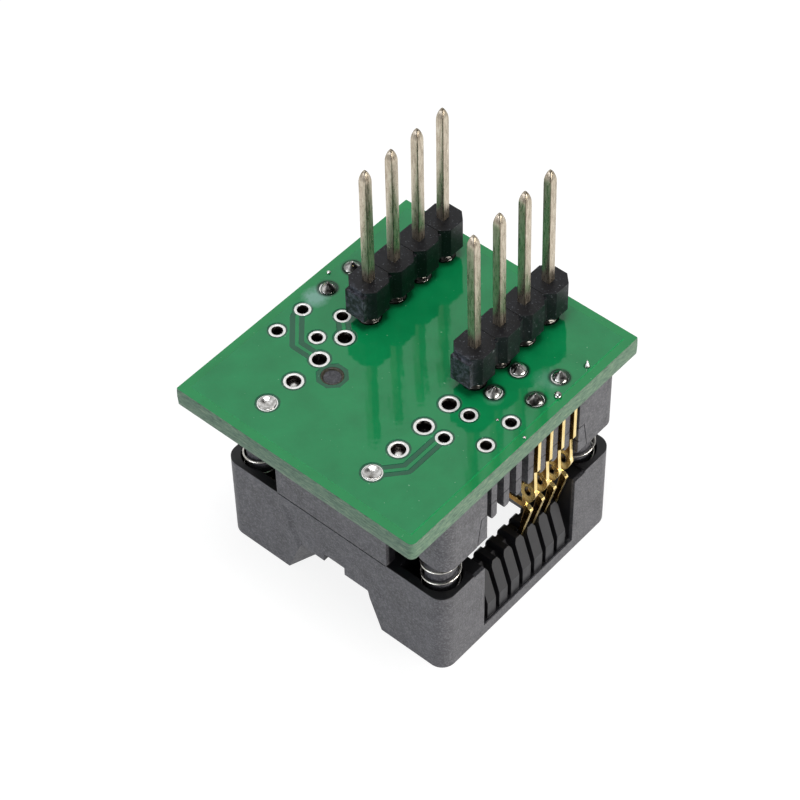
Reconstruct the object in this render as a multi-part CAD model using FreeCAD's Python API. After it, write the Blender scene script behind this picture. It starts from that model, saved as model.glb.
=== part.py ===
import FreeCAD, Part
import math
import os

os.makedirs("parts", exist_ok=True)

# Frame: millimetres, origin at the foot of the cover, under the middle of the board. +Z is up
# the header pins, +X across the header rows, +Y along them.

# Heights above the table that the cover stands on
RIM_Z = 7.70             # upper rim of the cover at rest
RAIL_Z = 1.05            # rail under the ribs
POST_Z = 10.75           # underside of the base's corner posts
INSERT_Z = 11.87         # underside of the comb insert
PARTING_Z = 13.45        # parting line between insert and housing
BOARD_Z = 16.05          # underside of the board
BOARD_T = 1.60
TOP_Z = BOARD_Z + BOARD_T
OVER = 1.0               # how far a cut runs past the face it opens

# Board: its edges stand this far out from the base housing
EDGE_LEFT = 0.12
EDGE_RIGHT = 0.29
EDGE_FRONT = 3.58
EDGE_BACK = 1.69
BOARD_CORNER_R = 0.10
BOARD_FRONT_R = 0.45     # the corner at the front right is worn rounder than the rest

# Header rows: pins at 2.54 mm, rows a little over 9 mm apart
PITCH = 2.54
ROW_GAP = 9.14
ROW_MID_X = -0.175
FIRST_PIN_Y = 1.485
ROW_X = (ROW_MID_X - ROW_GAP / 2, ROW_MID_X + ROW_GAP / 2)
PIN_Y = tuple(FIRST_PIN_Y + i * PITCH for i in range(4))
FREE_Y = (FIRST_PIN_Y - PITCH, FIRST_PIN_Y - 2 * PITCH)         # plated holes left open
FILLED_Y = (FIRST_PIN_Y - 3 * PITCH, FIRST_PIN_Y - 4 * PITCH)   # holes closed with solder
PIN_HOLE_R = 0.51
HIDDEN_SIDES = 10        # holes and solder that no face shows are many-sided
PIN_A = 0.64
PIN_TIP = 1.00
PIN_TIP_A = 0.20
PIN_FREE = 9.91          # length above the strip
PIN_TAIL = 0.10          # length below the board
STRIP_GAP = 1.09         # strip's underside above the board, room for the solder cones
STRIP_Z = TOP_Z + STRIP_GAP
STRIP_H = 2.54
PIN_TOP = STRIP_Z + STRIP_H + PIN_FREE
PIN_FOOT = BOARD_Z - PIN_TAIL
STRIP_W = 2.50
STRIP_CHAMFER = 0.62
NECK_W = 1.60
NECK_DROP = 0.33
STUB_L = 0.22

# Socket: everything below is placed about this axis
SX = (EDGE_LEFT - EDGE_RIGHT) / 2
SY = (EDGE_FRONT - EDGE_BACK) / 2
LEAD_PITCH = 1.27
CONTACT_K = (0.5, 1.5, 2.5, 3.5)
SLOT_W = 0.69
OUTER_TAIL = 8.57
INNER_TAIL = 6.10
TAIL_HOLE_R = 0.40
LOCATOR = (3.01, 5.10)
LOCATOR_R = 0.75
LOCATOR_DROP = 0.15
LOCATOR_HOLE_R = 0.80

# Base housing
BASE_X = 10.08
BASE_Y = 8.98
POST_W = 3.30
POST_L = 4.15
POST_OUTER_R = 1.00
POST_INNER_R = 1.45
TOOTH_X = 9.84           # teeth stand back from the posts' faces
SLOT_ROOT_X = 5.60
END_WALL_Y = 8.11        # end wall behind the tongue
GUIDE_X = 5.07           # guide ribs beside the tongue
GUIDE_T = 0.60
GUIDE_Y = 8.60
GROOVE_Y = 7.62          # groove that the latch hook runs in
LEDGE_Z = 12.20          # ledge that the latch hook rests on
BOSS_R = 1.10            # boss inside each spring
BOSS_L = 4.60
TAIL_GROOVE_W = 1.70
TAIL_GROOVE_CLEAR = 0.40
TAIL_GROOVE_END = 1.00
END_WALL_Z = 11.35
REVEAL_X = 9.50          # shadow gap between board and housing along the contact sides
REVEAL_Z = 0.10

# Comb insert and chip nest
EAR_X = 8.90
EAR_L = 0.93
EAR_TOP_L = 0.53
EAR_Z = 10.80
EAR_TOP_Z = 13.20
EAR_FIT = 0.06
EAR_LAP = 0.06
INSERT_Y = 6.30
INSERT_FIT = 0.10
PARTING_GAP = 0.07       # dark joint round the teeth
PARTING_DEPTH = 0.12
TOOTH_EASE = 0.13        # teeth are eased at their free ends
SPINE_X = 6.30
WELL_X = 4.50
WELL_Y = 5.85
NEST_FIT = 0.05
SEAT_Z = 9.65
STOP_Z = 8.40
STOP_X = 2.50
CHIP_Y = (-0.15, 5.25)   # a chip with eight leads sits at one end
STOP_T = 0.70

# Cover
COVER_X = 9.97
COVER_Y = 9.11
COVER_CORNER_R = 1.10
WINDOW_Y = 4.85
RIM_STEP_Y = 5.95
RIM_STEP = 0.20
WELL_INNER_X = 7.41
WELL_INNER_Y = 5.40
WELL_STEP_X = 5.00       # the well is longer higher up, where the nest comes down into it
WELL_STEP_Y = 6.05
WELL_STEP_Z = 5.20
RIB_W = 0.87
RIB_K = (-3, -2, -1, 0, 1, 2, 3)
RIB_FACE_X = 9.78
RIB_BEND_Z = 2.65
RIB_TOP_X = 8.94
RIB_TOP_Z = 5.35
RIB_ROOT = 0.40
RIB_NOSE = 0.20
RIB_CREST_W = 0.20       # each rib narrows to its crest
RIB_CREST_H = 0.38
CAM_BACK = 0.10
CAM_FOOT = (9.43, 1.30)
CAM_TOP = (8.158, 4.90)
ARCH_FOOT_X = 4.32
ARCH_TOP_X = 3.12
ARCH_CLOSE = 1.39        # the arch's flanks close in by this much towards the well
ARCH_Z = 3.30
NOTCH_X = 0.94
NOTCH_Z = 4.05
PANEL_DEPTH = 0.10       # panel under the tongue, set back between the feet
PANEL_BLEND = 0.45
ROOT_X = 4.90            # dark joint along the tongue's root
ROOT_GAP = 0.10
ROOT_DEPTH = 0.25
TONGUE_X = 4.97
TONGUE_T = 0.90
TONGUE_Z = 13.05
HOOK_X = 3.00
HOOK_Y = 7.75
HOOK_Z = 12.24
HOOK_NOSE = 0.30
HOOK_SIDE_FIT = 0.15

# Springs
SPRING_X = 8.12
SPRING_Y = 7.20
SPRING_R = 1.40
WIRE = 0.18
SPRING_PITCH = 1.18
SPRING_FIT = 0.02
COIL_STEPS = 10
POCKET_R = 1.50
POCKET_Z = 2.40
POCKET_INNER_X = 5.60
POCKET_FLAT_Y = 8.45

# Contacts: sheet profiles across the socket, the turning arm's axis at the ring
BLADE = 0.30
PIVOT_X = 9.26
PIVOT_Z = 10.05
RING_R = 0.66
RING_FIT = 0.03
RING_HOLE_X = 0.23
RING_HOLE_Z = 0.40
RING_STRETCH = 0.85
NECK = [(8.80, 9.30), (9.12, 9.00), (9.12, 8.40)]
LEVER = [(9.50, 8.20), (9.56, 8.02), (8.62, 4.28), (8.42, 4.32), (9.00, 7.86), (8.80, 8.06)]
LIMB = [(4.30, 8.32), (3.72, 8.60), (3.72, 9.58), (4.02, 9.58), (4.22, 8.78), (8.80, 8.56)]
STEM_X = (9.61, 10.03)
FOOT_Z = (15.25, 15.75)
TAIL_W = 0.40
STEM_JOG = [(9.61, 12.75), (9.36, 12.45), (9.12, 10.30), (9.84, 10.30), (9.76, 12.35), (10.03, 12.65)]
TAIL_TOP = 18.05

# Solder
DOME_R = 0.65
DOME_TOP_R = 0.20
DOME_H = 0.62
CONE_R = 0.85
CONE_TOP_R = 0.48
FILL_R = 0.62
FILL_TOP_R = 0.31
FILL_H = 0.16


def box(x0, x1, y0, y1, z0, z1):
    return Part.makeBox(x1 - x0, y1 - y0, z1 - z0, FreeCAD.Vector(x0, y0, z0))


def prism(points, z0, z1):
    """upright prism over a closed outline"""
    outline = Part.makePolygon([FreeCAD.Vector(x, y, z0) for x, y in points + points[:1]])
    return Part.Face(outline).extrude(FreeCAD.Vector(0, 0, z1 - z0))


def sheet(points, y0, y1):
    """flat sheet: an outline in x and z, given its thickness along y"""
    outline = Part.makePolygon([FreeCAD.Vector(x, y0, z) for x, z in points + points[:1]])
    return Part.Face(outline).extrude(FreeCAD.Vector(0, y1 - y0, 0))


def across_sheet(points, x0, x1):
    """flat sheet: an outline in y and z, given its thickness along x"""
    outline = Part.makePolygon([FreeCAD.Vector(x0, y, z) for y, z in points + points[:1]])
    return Part.Face(outline).extrude(FreeCAD.Vector(x1 - x0, 0, 0))


def cylinder(x, y, z0, z1, r):
    return Part.makeCylinder(r, z1 - z0, FreeCAD.Vector(x, y, z0))


def ring_points(x, y, r, sides):
    step = 2 * math.pi / sides
    return [(x + r * math.cos(i * step), y + r * math.sin(i * step)) for i in range(sides)]


def taper(first, second):
    """solid with flat sides between two outlines that have the same number of points"""
    faces = [Part.Face(Part.makePolygon(ring + ring[:1])) for ring in (first, second)]
    for i in range(len(first)):
        j = (i + 1) % len(first)
        side = [first[i], first[j], second[j], second[i], first[i]]
        faces.append(Part.Face(Part.makePolygon(side)))
    solid = Part.makeSolid(Part.makeShell(faces))
    if solid.Volume < 0:
        solid.reverse()
    return solid


def frustum(x, y, z0, z1, r0, r1, sides):
    """many-sided cone between two levels"""
    rings = []
    for z, r in ((z0, r0), (z1, r1)):
        rings.append([FreeCAD.Vector(a, b, z) for a, b in ring_points(x, y, r, sides)])
    return taper(rings[0], rings[1])


def join(shapes):
    return shapes[0].fuse(shapes[1:]).removeSplitter()


def upright_edges(shape, tests):
    """vertical edges whose x and y pass one of the tests"""
    found = []
    for edge in shape.Edges:
        a = edge.Vertexes[0].Point
        b = edge.Vertexes[-1].Point
        if abs(a.x - b.x) < 1e-6 and abs(a.y - b.y) < 1e-6 and abs(a.z - b.z) > 0.5:
            if any(abs(a.x - x) < 1e-3 and abs(a.y - y) < 1e-3 for x, y in tests):
                found.append(edge)
    return found


def to_socket(shape):
    placed = shape.copy()
    placed.translate(FreeCAD.Vector(SX, SY, 0))
    return placed


def mirror_x(shape):
    return shape.mirror(FreeCAD.Vector(0, 0, 0), FreeCAD.Vector(1, 0, 0))


def mirror_y(shape):
    return shape.mirror(FreeCAD.Vector(0, 0, 0), FreeCAD.Vector(0, 1, 0))


def four(shape):
    """the same corner feature at all four corners"""
    pair = [shape, mirror_x(shape)]
    return pair + [mirror_y(s) for s in pair]


def save(name, shape):
    solid = shape.Solids[0] if len(shape.Solids) == 1 else shape
    solid.exportStep("parts/" + name + ".step")


def contact_places():
    """side, number, y and tail distance of the eight fitted contacts"""
    places = []
    for side in (-1, 1):
        for i, k in enumerate(CONTACT_K):
            outer = (i % 2 == 1) if side > 0 else (i % 2 == 0)
            places.append((side, i + 1, k * LEAD_PITCH, OUTER_TAIL if outer else INNER_TAIL))
    return places


def tail_holes():
    """staggered holes for all sixteen places of the socket"""
    holes = []
    for side in (-1, 1):
        for i in range(8):
            y = (i - 3.5) * LEAD_PITCH
            outer = (i % 2 == 1) if side > 0 else (i % 2 == 0)
            holes.append((SX + side * (OUTER_TAIL if outer else INNER_TAIL), SY + y, i > 3))
    return holes


# Circuit board: plate with rounded corners, all plated holes and two locating holes
hx = BASE_X + (EDGE_LEFT + EDGE_RIGHT) / 2
hy = BASE_Y + (EDGE_FRONT + EDGE_BACK) / 2
board = box(-hx, hx, -hy, hy, BOARD_Z, TOP_Z)
board = board.makeFillet(BOARD_FRONT_R, upright_edges(board, [(hx, -hy)]))
board = board.makeFillet(BOARD_CORNER_R, upright_edges(board, [(-hx, -hy), (hx, hy), (-hx, hy)]))
drills = []
for x in ROW_X:
    for y in FREE_Y:
        drills.append(cylinder(x, y, BOARD_Z - OVER, TOP_Z + OVER, PIN_HOLE_R))
    for y in PIN_Y + FILLED_Y:
        drills.append(prism(ring_points(x, y, PIN_HOLE_R, HIDDEN_SIDES), BOARD_Z - OVER, TOP_Z + OVER))
for x, y, fitted in tail_holes():
    outline = ring_points(x, y, TAIL_HOLE_R, HIDDEN_SIDES)
    covered = prism(outline, BOARD_Z - OVER, TOP_Z + OVER)
    drills.append(covered if fitted else cylinder(x, y, BOARD_Z - OVER, TOP_Z + OVER, TAIL_HOLE_R))
for sign in (-1, 1):
    x = SX + sign * LOCATOR[0]
    y = SY + sign * LOCATOR[1]
    drills.append(cylinder(x, y, BOARD_Z - OVER, TOP_Z + OVER, LOCATOR_HOLE_R))
board = board.cut(drills)
save("board", board)

# Header strips: a row of eight-sided units joined by lower necks, a broken neck at one end
half = STRIP_W / 2
cut = half - STRIP_CHAMFER
unit = [(-half, -cut), (-cut, -half), (cut, -half), (half, -cut)]
unit = unit + [(half, cut), (cut, half), (-cut, half), (-half, cut)]
for name, x in zip(("left", "right"), ROW_X):
    pieces = []
    for y in PIN_Y:
        pieces.append(prism([(x + a, y + b) for a, b in unit], STRIP_Z, STRIP_Z + STRIP_H))
    neck_top = STRIP_Z + STRIP_H - NECK_DROP
    low = PIN_Y[0] - half - STUB_L
    pieces.append(box(x - NECK_W / 2, x + NECK_W / 2, low, PIN_Y[-1], STRIP_Z, neck_top))
    strip = join(pieces)
    slots = []
    for y in PIN_Y:
        slots.append(box(x - PIN_A / 2, x + PIN_A / 2, y - PIN_A / 2, y + PIN_A / 2, STRIP_Z - 1, PIN_TOP))
    save("header_strip_" + name, strip.cut(slots))

# Header pins: square wire, both ends cut to a blunt pyramid
tip_scale = PIN_TIP_A / PIN_A
square = [(-0.5, -0.5), (0.5, -0.5), (0.5, 0.5), (-0.5, 0.5)]


def pin_section(x, y, z, size):
    return [FreeCAD.Vector(x + a * size, y + b * size, z) for a, b in square]


pins = []
for name, x in zip(("left", "right"), ROW_X):
    for i, y in enumerate(PIN_Y):
        shank = box(x - PIN_A / 2, x + PIN_A / 2, y - PIN_A / 2, y + PIN_A / 2, PIN_FOOT, PIN_TOP - PIN_TIP)
        lower = pin_section(x, y, PIN_TOP - PIN_TIP, PIN_A)
        upper = pin_section(x, y, PIN_TOP, PIN_TIP_A)
        pin = join([shank, taper(lower, upper)])
        pins.append(pin)
        save("header_pin_%s_%d" % (name, i + 1), pin)

# Contacts: the fixed stem has a foot in the base and a tail through the board, the arm turns
# about its ring, its lever runs between the cover's ribs and its limb ends on the chip's lead
tails = []
for side, number, y, tail_x in contact_places():
    stem = [(STEM_X[1], FOOT_Z[1]), (tail_x + TAIL_W / 2, FOOT_Z[1]), (tail_x + TAIL_W / 2, TAIL_TOP)]
    stem = stem + [(tail_x - TAIL_W / 2, TAIL_TOP), (tail_x - TAIL_W / 2, FOOT_Z[0]), (STEM_X[0], FOOT_Z[0])]
    stem = stem + STEM_JOG
    blade = sheet(stem, y - BLADE / 2, y + BLADE / 2)
    foot = FreeCAD.Vector(PIVOT_X, y - BLADE, PIVOT_Z)
    seat = Part.makeCylinder(RING_R + RING_FIT, 2 * BLADE, foot, FreeCAD.Vector(0, 1, 0))
    blade = blade.cut(seat)
    blade = blade.Solids[0] if len(blade.Solids) == 1 else max(blade.Solids, key=lambda s: s.Volume)
    if side < 0:
        blade = mirror_x(blade)
    label = "left" if side < 0 else "right"
    save("contact_stem_%s_%d" % (label, number), to_socket(blade))
    t0 = side * tail_x - TAIL_W / 2
    tail = box(t0, t0 + TAIL_W, y - BLADE / 2, y + BLADE / 2, BOARD_Z, TAIL_TOP)
    tails.append((to_socket(tail), side * tail_x, y))

    ring = []
    for j in range(24):
        a = math.radians(15 * j)
        drop = 1.0 if math.sin(a) >= 0 else 1.0 + RING_STRETCH * math.sin(a) ** 2
        ring.append((PIVOT_X + RING_R * math.cos(a), PIVOT_Z + RING_R * drop * math.sin(a)))
    ring_blade = sheet(ring, y - BLADE / 2, y + BLADE / 2)
    arm = join([ring_blade, sheet(NECK + LEVER + LIMB, y - BLADE / 2, y + BLADE / 2)])
    hole = []
    for j in range(14):
        a = math.radians(360 / 14 * j)
        hole.append((PIVOT_X + RING_HOLE_X * math.cos(a), PIVOT_Z + RING_HOLE_Z * math.sin(a)))
    arm = arm.cut(sheet(hole, y - 1, y + 1))
    if side < 0:
        arm = mirror_x(arm)
    save("contact_arm_%s_%d" % (label, number), to_socket(arm))

# Solder: cones up the header pins, domes over the contact tails, slugs in the filled holes
cones = []
for x in ROW_X:
    for y in PIN_Y:
        cone = frustum(x, y, TOP_Z, STRIP_Z, CONE_R, CONE_TOP_R, HIDDEN_SIDES)
        cones.append(cone.cut(pins))
    for y in FILLED_Y:
        slug = prism(ring_points(x, y, PIN_HOLE_R, HIDDEN_SIDES), BOARD_Z, TOP_Z)
        cap = frustum(x, y, TOP_Z, TOP_Z + FILL_H, FILL_R, FILL_TOP_R, HIDDEN_SIDES)
        cones.append(join([slug, cap]))
save("header_solder", Part.makeCompound([c.Solids[0] for c in cones]))
domes = []
for tail, x, y in tails:
    dome = frustum(SX + x, SY + y, TOP_Z, TOP_Z + DOME_H, DOME_R, DOME_TOP_R, HIDDEN_SIDES)
    domes.append(dome.cut(tail).Solids[0])
save("contact_solder", Part.makeCompound(domes))

# Base housing: slotted top plate, corner posts, end walls behind the tongues, locating posts
plate = box(-TOOTH_X, TOOTH_X, -END_WALL_Y, END_WALL_Y, PARTING_Z, BOARD_Z)
post = box(BASE_X - POST_W, BASE_X, BASE_Y - POST_L, BASE_Y, POST_Z, BOARD_Z)
post = post.makeFillet(POST_OUTER_R, upright_edges(post, [(BASE_X, BASE_Y)]))
post = post.makeFillet(POST_INNER_R, upright_edges(post, [(BASE_X - POST_W, BASE_Y)]))
boss = cylinder(SPRING_X, SPRING_Y, POST_Z - BOSS_L, POST_Z, BOSS_R)
solids = [plate] + four(post.fuse(boss))
wall_y0 = INSERT_Y + INSERT_FIT
post_x0 = BASE_X - POST_W
end_wall = box(-post_x0 - POST_INNER_R, post_x0 + POST_INNER_R, wall_y0, END_WALL_Y, END_WALL_Z, BOARD_Z)
guide = box(GUIDE_X, GUIDE_X + GUIDE_T, wall_y0, GUIDE_Y, END_WALL_Z, BOARD_Z)
solids = solids + [end_wall, mirror_y(end_wall)] + four(guide)
housing = join(solids)
cuts = []
for side in (-1, 1):
    for i in range(8):
        y = (i - 3.5) * LEAD_PITCH
        x0 = SLOT_ROOT_X if side > 0 else -BASE_X - OVER
        x1 = BASE_X + OVER if side > 0 else -SLOT_ROOT_X
        cuts.append(box(x0, x1, y - SLOT_W / 2, y + SLOT_W / 2, PARTING_Z - OVER, BOARD_Z + OVER))
groove_x = HOOK_X + HOOK_SIDE_FIT
hook_groove = box(-groove_x, groove_x, GROOVE_Y, GUIDE_Y + OVER, LEDGE_Z, BOARD_Z + OVER)
cuts = cuts + [hook_groove, mirror_y(hook_groove)]
ear_y0 = BASE_Y - POST_L
ear_y1 = ear_y0 + EAR_L + EAR_FIT
ear_top = EAR_TOP_Z + EAR_FIT
notch = [(ear_y0 - OVER, POST_Z - OVER), (ear_y1, POST_Z - OVER), (ear_y1, EAR_Z)]
notch = notch + [(ear_y0 + EAR_TOP_L + EAR_FIT, ear_top), (ear_y0 - OVER, ear_top)]
cuts = cuts + four(across_sheet(notch, EAR_X - EAR_FIT, BASE_X + OVER))
for side in (-1, 1):
    x0, x1 = sorted((side * REVEAL_X, side * (BASE_X + OVER)))
    cuts.append(box(x0, x1, -BASE_Y - OVER, BASE_Y + OVER, BOARD_Z - REVEAL_Z, BOARD_Z + OVER))
for x in ROW_X:
    gx = x - SX
    gy0 = PIN_Y[0] - SY - TAIL_GROOVE_END
    gy1 = PIN_Y[-1] - SY + TAIL_GROOVE_END
    gw = TAIL_GROOVE_W / 2
    cuts.append(box(gx - gw, gx + gw, gy0, gy1, PIN_FOOT - TAIL_GROOVE_CLEAR, BOARD_Z + OVER))
housing = housing.cut(cuts)
locators = []
for sign in (-1, 1):
    x = sign * LOCATOR[0]
    y = sign * LOCATOR[1]
    locators.append(cylinder(x, y, PARTING_Z, TOP_Z - LOCATOR_DROP, LOCATOR_R))
housing = housing.fuse(locators).removeSplitter()
save("base_housing", to_socket(housing))

# Comb insert: lower halves of the teeth, four ears let into the posts, a well for the nest
insert = box(-TOOTH_X, TOOTH_X, -ear_y0, ear_y0, INSERT_Z, PARTING_Z)
spine = box(-SPINE_X, SPINE_X, -INSERT_Y, INSERT_Y, INSERT_Z, PARTING_Z)
ear = [(ear_y0 - EAR_LAP, EAR_Z), (ear_y0 + EAR_L, EAR_Z), (ear_y0 + EAR_TOP_L, EAR_TOP_Z)]
ear = ear + [(ear_y0 - EAR_LAP, EAR_TOP_Z)]
insert = join([insert, spine] + four(across_sheet(ear, EAR_X, BASE_X)))
cuts = [box(-WELL_X, WELL_X, -WELL_Y, WELL_Y, INSERT_Z - OVER, PARTING_Z + OVER)]
for side in (-1, 1):
    for i in range(8):
        y = (i - 3.5) * LEAD_PITCH
        x0 = SLOT_ROOT_X if side > 0 else -BASE_X - OVER
        x1 = BASE_X + OVER if side > 0 else -SLOT_ROOT_X
        cuts.append(box(x0, x1, y - SLOT_W / 2, y + SLOT_W / 2, INSERT_Z - OVER, PARTING_Z + OVER))
        mouth = SLOT_W / 2 + TOOTH_EASE
        throat = SLOT_W / 2 - TOOTH_EASE
        ease = [(y - mouth, INSERT_Z), (y + mouth, INSERT_Z), (y + throat, INSERT_Z + 2 * TOOTH_EASE)]
        ease.append((y - throat, INSERT_Z + 2 * TOOTH_EASE))
        cuts.append(across_sheet(ease, x0, x1))
    x0, x1 = sorted((side * (TOOTH_X - PARTING_DEPTH), side * (BASE_X + OVER)))
    cuts.append(box(x0, x1, -ear_y0, ear_y0, PARTING_Z - PARTING_GAP, PARTING_Z + OVER))
insert = insert.cut(cuts)
save("comb_insert", to_socket(insert))

# Chip nest: the seat for the leads, and two stops that place the chip's ends
nx = WELL_X - NEST_FIT
ny = WELL_Y - NEST_FIT
nest = box(-nx, nx, -ny, ny, SEAT_Z, PARTING_Z)
stops = [box(-STOP_X, STOP_X, CHIP_Y[0] - STOP_T, CHIP_Y[0], STOP_Z, SEAT_Z)]
stops.append(box(-STOP_X, STOP_X, CHIP_Y[1], ny, STOP_Z, SEAT_Z))
save("nest", to_socket(join([nest] + stops)))

# Cover: frame with a central well, ribbed side windows, arches and set-back panels at the
# ends, spring pockets in the corners and two latch tongues
def arch_cut(y0, y1):
    """the arch between two values of y, its flanks closing in towards the well"""
    outlines = []
    for y in (y0, y1):
        close = ARCH_CLOSE * (COVER_Y - y) / (COVER_Y - WELL_INNER_Y)
        foot = ARCH_FOOT_X - close
        top = ARCH_TOP_X - close
        outline = [(-foot, -OVER), (-foot, 0), (-top, ARCH_Z), (top, ARCH_Z), (foot, 0), (foot, -OVER)]
        outlines.append([FreeCAD.Vector(x, y, z) for x, z in outline])
    return taper(outlines[0], outlines[1])


def panel_cut(y0, y1):
    """the set-back panel between two values of y, with sloping sides"""
    outlines = []
    for y in (y0, y1):
        spread = PANEL_BLEND * (y - COVER_Y + PANEL_DEPTH) / PANEL_DEPTH
        root = TONGUE_X - PANEL_BLEND + spread
        low = ARCH_TOP_X - PANEL_BLEND + spread
        outline = [(-root, RIM_Z), (-low, ARCH_Z - OVER), (low, ARCH_Z - OVER), (root, RIM_Z)]
        outlines.append([FreeCAD.Vector(x, y, z) for x, z in outline])
    return taper(outlines[0], outlines[1])


cover = box(-COVER_X, COVER_X, -COVER_Y, COVER_Y, 0, RIM_Z)
corners = [(-COVER_X, -COVER_Y), (COVER_X, -COVER_Y), (COVER_X, COVER_Y), (-COVER_X, COVER_Y)]
cover = cover.makeFillet(COVER_CORNER_R, upright_edges(cover, corners))
arch = arch_cut(COVER_Y + OVER, WELL_INNER_Y - OVER)
panel = panel_cut(COVER_Y + PANEL_DEPTH, COVER_Y - PANEL_DEPTH)
root = box(-ROOT_X, ROOT_X, COVER_Y - ROOT_DEPTH, COVER_Y + OVER, RIM_Z - ROOT_GAP, RIM_Z)
arches = [arch, mirror_y(arch)]
cuts = [box(-WELL_INNER_X, WELL_INNER_X, -WELL_INNER_Y, WELL_INNER_Y, -OVER, RIM_Z + OVER)]
cuts = cuts + [panel, mirror_y(panel)]
cuts.append(box(-WELL_STEP_X, WELL_STEP_X, -WELL_STEP_Y, WELL_STEP_Y, WELL_STEP_Z, RIM_Z + OVER))
for side in (-1, 1):
    x0 = WELL_INNER_X - OVER if side > 0 else -COVER_X - OVER
    x1 = COVER_X + OVER if side > 0 else -WELL_INNER_X + OVER
    cuts.append(box(x0, x1, -WINDOW_Y, WINDOW_Y, RAIL_Z, RIM_Z + OVER))
    cuts.append(box(x0, x1, -RIM_STEP_Y, RIM_STEP_Y, RIM_Z - RIM_STEP, RIM_Z + OVER))
pocket = cylinder(SPRING_X, SPRING_Y, POCKET_Z, RIM_Z + OVER, POCKET_R)
side_pocket = box(POCKET_INNER_X, SPRING_X, SPRING_Y - POCKET_R, POCKET_FLAT_Y, POCKET_Z, RIM_Z + OVER)
cuts = cuts + four(pocket.fuse(side_pocket))
cuts.append(box(-NOTCH_X, NOTCH_X, -COVER_Y - OVER, COVER_Y + OVER, -OVER, NOTCH_Z))
cover = cover.cut(arches).cut(cuts)
rib_root = RAIL_Z - RIB_ROOT
rib = [(WELL_INNER_X, rib_root), (RIB_FACE_X, rib_root), (RIB_FACE_X, RIB_BEND_Z)]
rib = rib + [(RIB_TOP_X, RIB_TOP_Z), (WELL_INNER_X + RIB_NOSE, RIB_TOP_Z)]
rib = rib + [(WELL_INNER_X, RIB_TOP_Z - RIB_NOSE)]
cam_x0 = WELL_INNER_X + CAM_BACK
cam = [(cam_x0, rib_root), (CAM_FOOT[0], rib_root), CAM_FOOT, CAM_TOP, (cam_x0, CAM_TOP[1])]
solids = [cover]
for flip in (False, True):
    fins = [sheet(cam, -WINDOW_Y, WINDOW_Y)]
    for k in RIB_K:
        y0 = k * LEAD_PITCH - RIB_W / 2
        y1 = k * LEAD_PITCH + RIB_W / 2
        crest = [(y0, rib_root), (y1, rib_root), (y1, RIB_TOP_Z - RIB_CREST_H), (y1 - RIB_CREST_W, RIB_TOP_Z)]
        crest = crest + [(y0 + RIB_CREST_W, RIB_TOP_Z), (y0, RIB_TOP_Z - RIB_CREST_H)]
        fins.append(sheet(rib, y0, y1).common(across_sheet(crest, WELL_INNER_X, RIB_FACE_X)))
    solids = solids + [mirror_x(f) if flip else f for f in fins]
tongue = box(-TONGUE_X, TONGUE_X, COVER_Y - TONGUE_T, COVER_Y, RIM_Z - OVER, TONGUE_Z)
root_y = COVER_Y - TONGUE_T
hook = [(root_y, HOOK_Z), (HOOK_Y, HOOK_Z), (HOOK_Y, HOOK_Z + HOOK_NOSE), (root_y, TONGUE_Z)]
latch = join([tongue, across_sheet(hook, -HOOK_X, HOOK_X)])
solids = solids + [latch, mirror_y(latch)]
cover = join(solids).cut([root, mirror_y(root)])
save("cover", to_socket(cover))

# Springs: coils of fine wire with closed ends, from the cover's pockets to the posts
z0 = POCKET_Z + WIRE / 2 + SPRING_FIT
z1 = POST_Z - WIRE / 2 - SPRING_FIT
w = WIRE / 2
r = SPRING_R - w
turns = (z1 - z0) / SPRING_PITCH
path = []
for i in range(int(turns * COIL_STEPS) + 1):
    a = 2 * math.pi * i / COIL_STEPS
    path.append(FreeCAD.Vector(r * math.cos(a), r * math.sin(a), z0 + SPRING_PITCH * i / COIL_STEPS))
loop = [(r - w, -w), (r + w, -w), (r + w, w), (r - w, w)]
loop = Part.makePolygon([FreeCAD.Vector(a, 0, z0 + b) for a, b in loop + loop[:1]])
coil = Part.makePolygon(path).makePipeShell([loop], True, True, 1)
names = ("front_left", "front_right", "back_left", "back_right")
places = ((-1, -1), (1, -1), (-1, 1), (1, 1))
for name, (a, b) in zip(names, places):
    spring = coil.copy()
    spring.translate(FreeCAD.Vector(SX + a * SPRING_X, SY + b * SPRING_Y, 0))
    save("spring_" + name, spring)
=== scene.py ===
import math

import bpy
import numpy as np
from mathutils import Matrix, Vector
from mathutils.geometry import delaunay_2d_cdt


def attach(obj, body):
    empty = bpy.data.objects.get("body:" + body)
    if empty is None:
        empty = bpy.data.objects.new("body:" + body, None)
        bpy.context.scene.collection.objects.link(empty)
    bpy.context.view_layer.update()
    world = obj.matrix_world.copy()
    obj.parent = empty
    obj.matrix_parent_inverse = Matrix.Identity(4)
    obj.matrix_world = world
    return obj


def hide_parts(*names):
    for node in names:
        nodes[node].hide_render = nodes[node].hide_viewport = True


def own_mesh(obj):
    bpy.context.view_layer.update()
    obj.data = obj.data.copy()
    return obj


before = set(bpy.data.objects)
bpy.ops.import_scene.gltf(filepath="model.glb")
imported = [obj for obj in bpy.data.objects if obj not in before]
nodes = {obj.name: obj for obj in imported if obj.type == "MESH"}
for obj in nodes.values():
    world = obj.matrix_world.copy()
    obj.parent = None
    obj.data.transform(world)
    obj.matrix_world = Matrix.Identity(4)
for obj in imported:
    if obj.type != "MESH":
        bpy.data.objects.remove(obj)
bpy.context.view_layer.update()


# Camera: placed and aimed as the photograph's was, a long lens from the front right.
# Its shift is only what the photograph's framing needs.
camera = bpy.data.objects.new("camera", bpy.data.cameras.new("camera"))
bpy.context.scene.collection.objects.link(camera)
camera.location = (0.0761216, -0.0855173, 0.1446986)
camera.rotation_mode = "QUATERNION"
camera.rotation_quaternion = (0.87752, 0.33135, 0.127179, 0.322478)
camera.data.sensor_width = 36
camera.data.lens = 116.08
camera.data.shift_x = -0.03023
camera.data.shift_y = -0.02228
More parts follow.
